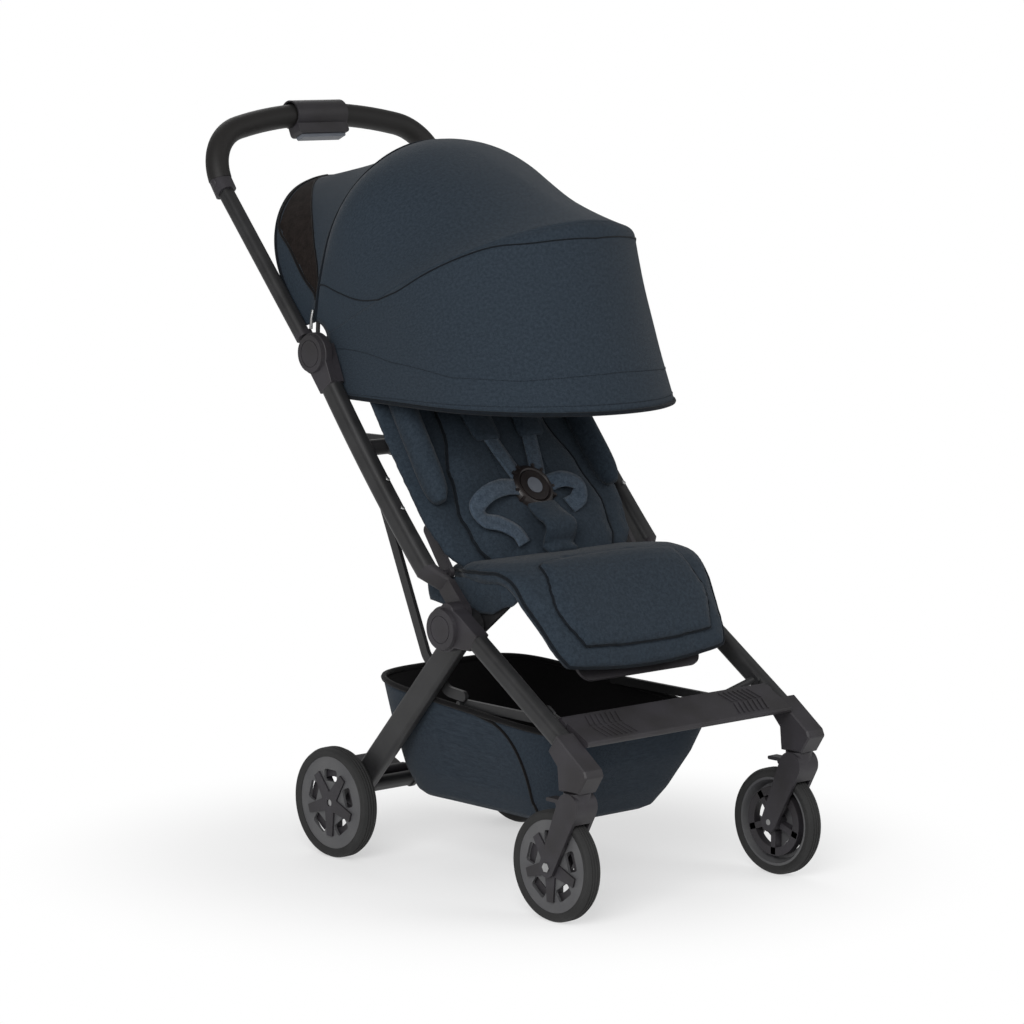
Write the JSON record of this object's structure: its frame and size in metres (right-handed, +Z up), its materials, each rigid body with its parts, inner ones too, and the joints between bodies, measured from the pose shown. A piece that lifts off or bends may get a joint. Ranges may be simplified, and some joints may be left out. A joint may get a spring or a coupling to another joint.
{
  "type": "baby stroller",
  "caption": "Compact folding baby stroller with a padded reclining seat, arched canopy, crossbar handle, swivelling front casters, braked rear wheels and a fabric storage basket.",
  "frame": {"origin": "on the floor, at the middle of the bounding box's bottom face", "axes": "+Z up, -Y the way it rolls forwards, +X towards its own left side"},
  "size_m": [0.4542, 0.8326, 1.0479],
  "materials": {
    "frame_paint": "fine matt powder coat, black",
    "black_plastic": "moulded, warm charcoal, fine grain",
    "wheel_grey": "moulded, mid grey, satin",
    "tyre_rubber": "foamed rubber, matt, fine tread lines",
    "bolt_steel": "bright zinc",
    "grip_leather": "black leatherette, fine grain, stitched seam",
    "navy_cloth": "woven navy, slightly heathered",
    "basket_cloth": "woven navy outside, black lining",
    "strap_web": "woven webbing",
    "buckle_plastic": "dark brown-black, satin",
    "button_grey": "grey, satin"
  },
  "bodies": {
    "front_frame": {"front_leg_left": "frame_paint", "front_leg_right": "frame_paint", "hub_knuckles": "black_plastic", "hub_pins": "bolt_steel", "caster_housings": "black_plastic", "footrest": "black_plastic", "basket_bars": "frame_paint", "storage_basket": "basket_cloth"},
    "rear_frame": {"rear_leg_left": "frame_paint", "rear_leg_right": "frame_paint", "rear_leg_ends": "black_plastic", "rear_axle_bar": "frame_paint", "rear_axles": "bolt_steel"},
    "brake": {"brake_pedal": "black_plastic"},
    "seat_frame": {"seat_tube_left": "frame_paint", "seat_tube_right": "frame_paint", "seat_connectors": "black_plastic", "mid_hinges": "black_plastic", "mid_hinge_pins": "bolt_steel", "lock_struts": "frame_paint"},
    "handle": {"handle_hinges": "black_plastic", "handle_tube_left": "frame_paint", "handle_tube_right": "frame_paint", "handle_collars": "black_plastic", "handlebar": "grip_leather", "fold_button_housing": "black_plastic", "canopy_rear_panel": "navy_cloth"},
    "release": {"fold_button": "button_grey"},
    "canopy_middle": {"canopy_mid_bow": "frame_paint", "canopy_mid_panel": "navy_cloth"},
    "canopy_visor": {"canopy_front_bow": "frame_paint", "canopy_front_panel": "navy_cloth"},
    "seat": {"seat_base": "frame_paint", "seat_pad": "navy_cloth"},
    "calf_rest": {"calf_board": "black_plastic", "calf_pad": "navy_cloth"},
    "backrest": {"backrest_board": "black_plastic", "backrest_pad": "navy_cloth", "harness_straps": "strap_web", "harness_buckle": "buckle_plastic"},
    "buckle_release": {"buckle_button": "button_grey"},
    "caster_left": {"caster_fork_left": "black_plastic", "front_axle_left": "bolt_steel"},
    "front_wheel_left": {"front_wheel_tyre_left": "tyre_rubber", "front_wheel_dish_left": "wheel_grey", "front_wheel_hub_left": "black_plastic"},
    "swivel_lock_lever_left": {"swivel_lock_left": "black_plastic"},
    "rear_wheel_left": {"rear_wheel_tyre_left": "tyre_rubber", "rear_wheel_dish_left": "wheel_grey", "rear_wheel_hub_left": "black_plastic"},
    "caster_right": {"caster_fork_right": "black_plastic", "front_axle_right": "bolt_steel"},
    "front_wheel_right": {"front_wheel_tyre_right": "tyre_rubber", "front_wheel_dish_right": "wheel_grey", "front_wheel_hub_right": "black_plastic"},
    "swivel_lock_lever_right": {"swivel_lock_right": "black_plastic"},
    "rear_wheel_right": {"rear_wheel_tyre_right": "tyre_rubber", "rear_wheel_dish_right": "wheel_grey", "rear_wheel_hub_right": "black_plastic"}
  },
  "joints": [
    {"name": "frame_fold", "type": "hinge", "parent": "front_frame", "child": "seat_frame", "pos_m": [0, -0.1343, 0.382], "axis": [1, 0, 0], "range_deg": [0, 128], "deforming": ["seat_pad", "calf_pad", "backrest_pad", "harness_straps"]},
    {"name": "rear_legs_fold", "type": "hinge", "parent": "front_frame", "child": "rear_frame", "pos_m": [0, -0.1283, 0.36], "axis": [1, 0, 0], "range_deg": [-90, 0]},
    {"name": "handle_fold", "type": "hinge", "parent": "seat_frame", "child": "handle", "pos_m": [0, 0.15428, 0.69754], "axis": [1, 0, 0], "range_deg": [-155, 0]},
    {"name": "seat_fold", "type": "hinge", "parent": "front_frame", "child": "seat", "pos_m": [0, -0.1283, 0.36], "axis": [1, 0, 0], "range_deg": [0, 60]},
    {"name": "backrest_recline", "type": "hinge", "parent": "seat_frame", "child": "backrest", "pos_m": [0, -0.09009, 0.4279], "axis": [1, 0, 0], "range_deg": [-35, 0]},
    {"name": "canopy_open", "type": "hinge", "parent": "handle", "child": "canopy_middle", "pos_m": [0, 0.16477, 0.72228], "axis": [1, 0, 0], "range_deg": [-37, 0], "deforming": ["canopy_rear_panel", "canopy_mid_panel", "canopy_front_panel"]},
    {"name": "visor_open", "type": "hinge", "parent": "canopy_middle", "child": "canopy_visor", "pos_m": [0, 0.16477, 0.72228], "axis": [1, 0, 0], "range_deg": [-37, 0]},
    {"name": "calf_rest_tilt", "type": "hinge", "parent": "seat", "child": "calf_rest", "pos_m": [0, -0.2043, 0.412], "axis": [-1, 0, 0], "range_deg": [0, 36]},
    {"name": "brake_press", "type": "hinge", "parent": "rear_frame", "child": "brake", "pos_m": [-0.091, 0.13864, 0.11205], "axis": [1, 0, 0], "range_deg": [-22, 0]},
    {"name": "release_squeeze", "type": "slide", "parent": "handle", "child": "release", "axis": [0, 0.4067, 0.9135], "range_m": [0, 0.005], "stiffness_N_per_m": 1500},
    {"name": "buckle_press", "type": "slide", "parent": "backrest", "child": "buckle_release", "axis": [0, 0.809, -0.5878], "range_m": [0, 0.003], "stiffness_N_per_m": 1500},
    {"name": "caster_swivel_left", "type": "hinge", "parent": "front_frame", "child": "caster_left", "pos_m": [0.207, -0.3813, 0.19], "axis": [0, 0, 1], "continuous": true},
    {"name": "front_wheel_spin_left", "type": "hinge", "parent": "caster_left", "child": "front_wheel_left", "pos_m": [0.207, -0.3423, 0.074], "axis": [1, 0, 0], "continuous": true},
    {"name": "swivel_lock_flip_left", "type": "hinge", "parent": "caster_left", "child": "swivel_lock_lever_left", "pos_m": [0.207, -0.3563, 0.16], "axis": [1, 0, 0], "range_deg": [0, 18]},
    {"name": "rear_wheel_spin_left", "type": "hinge", "parent": "rear_frame", "child": "rear_wheel_left", "pos_m": [0.174, 0.1467, 0.078], "axis": [1, 0, 0], "continuous": true},
    {"name": "caster_swivel_right", "type": "hinge", "parent": "front_frame", "child": "caster_right", "pos_m": [-0.207, -0.3813, 0.19], "axis": [0, 0, 1], "continuous": true},
    {"name": "front_wheel_spin_right", "type": "hinge", "parent": "caster_right", "child": "front_wheel_right", "pos_m": [-0.207, -0.3423, 0.074], "axis": [1, 0, 0], "continuous": true},
    {"name": "swivel_lock_flip_right", "type": "hinge", "parent": "caster_right", "child": "swivel_lock_lever_right", "pos_m": [-0.207, -0.3563, 0.16], "axis": [1, 0, 0], "range_deg": [0, 18]},
    {"name": "rear_wheel_spin_right", "type": "hinge", "parent": "rear_frame", "child": "rear_wheel_right", "pos_m": [-0.174, 0.1467, 0.078], "axis": [1, 0, 0], "continuous": true}
  ],
  "couplings": [
    {"joint": "rear_legs_fold", "follows": "frame_fold", "ratio": -0.70312},
    {"joint": "handle_fold", "follows": "frame_fold", "ratio": -1.2109},
    {"joint": "seat_fold", "follows": "frame_fold", "ratio": 0.46875},
    {"joint": "visor_open", "follows": "canopy_open", "ratio": 1}
  ]
}
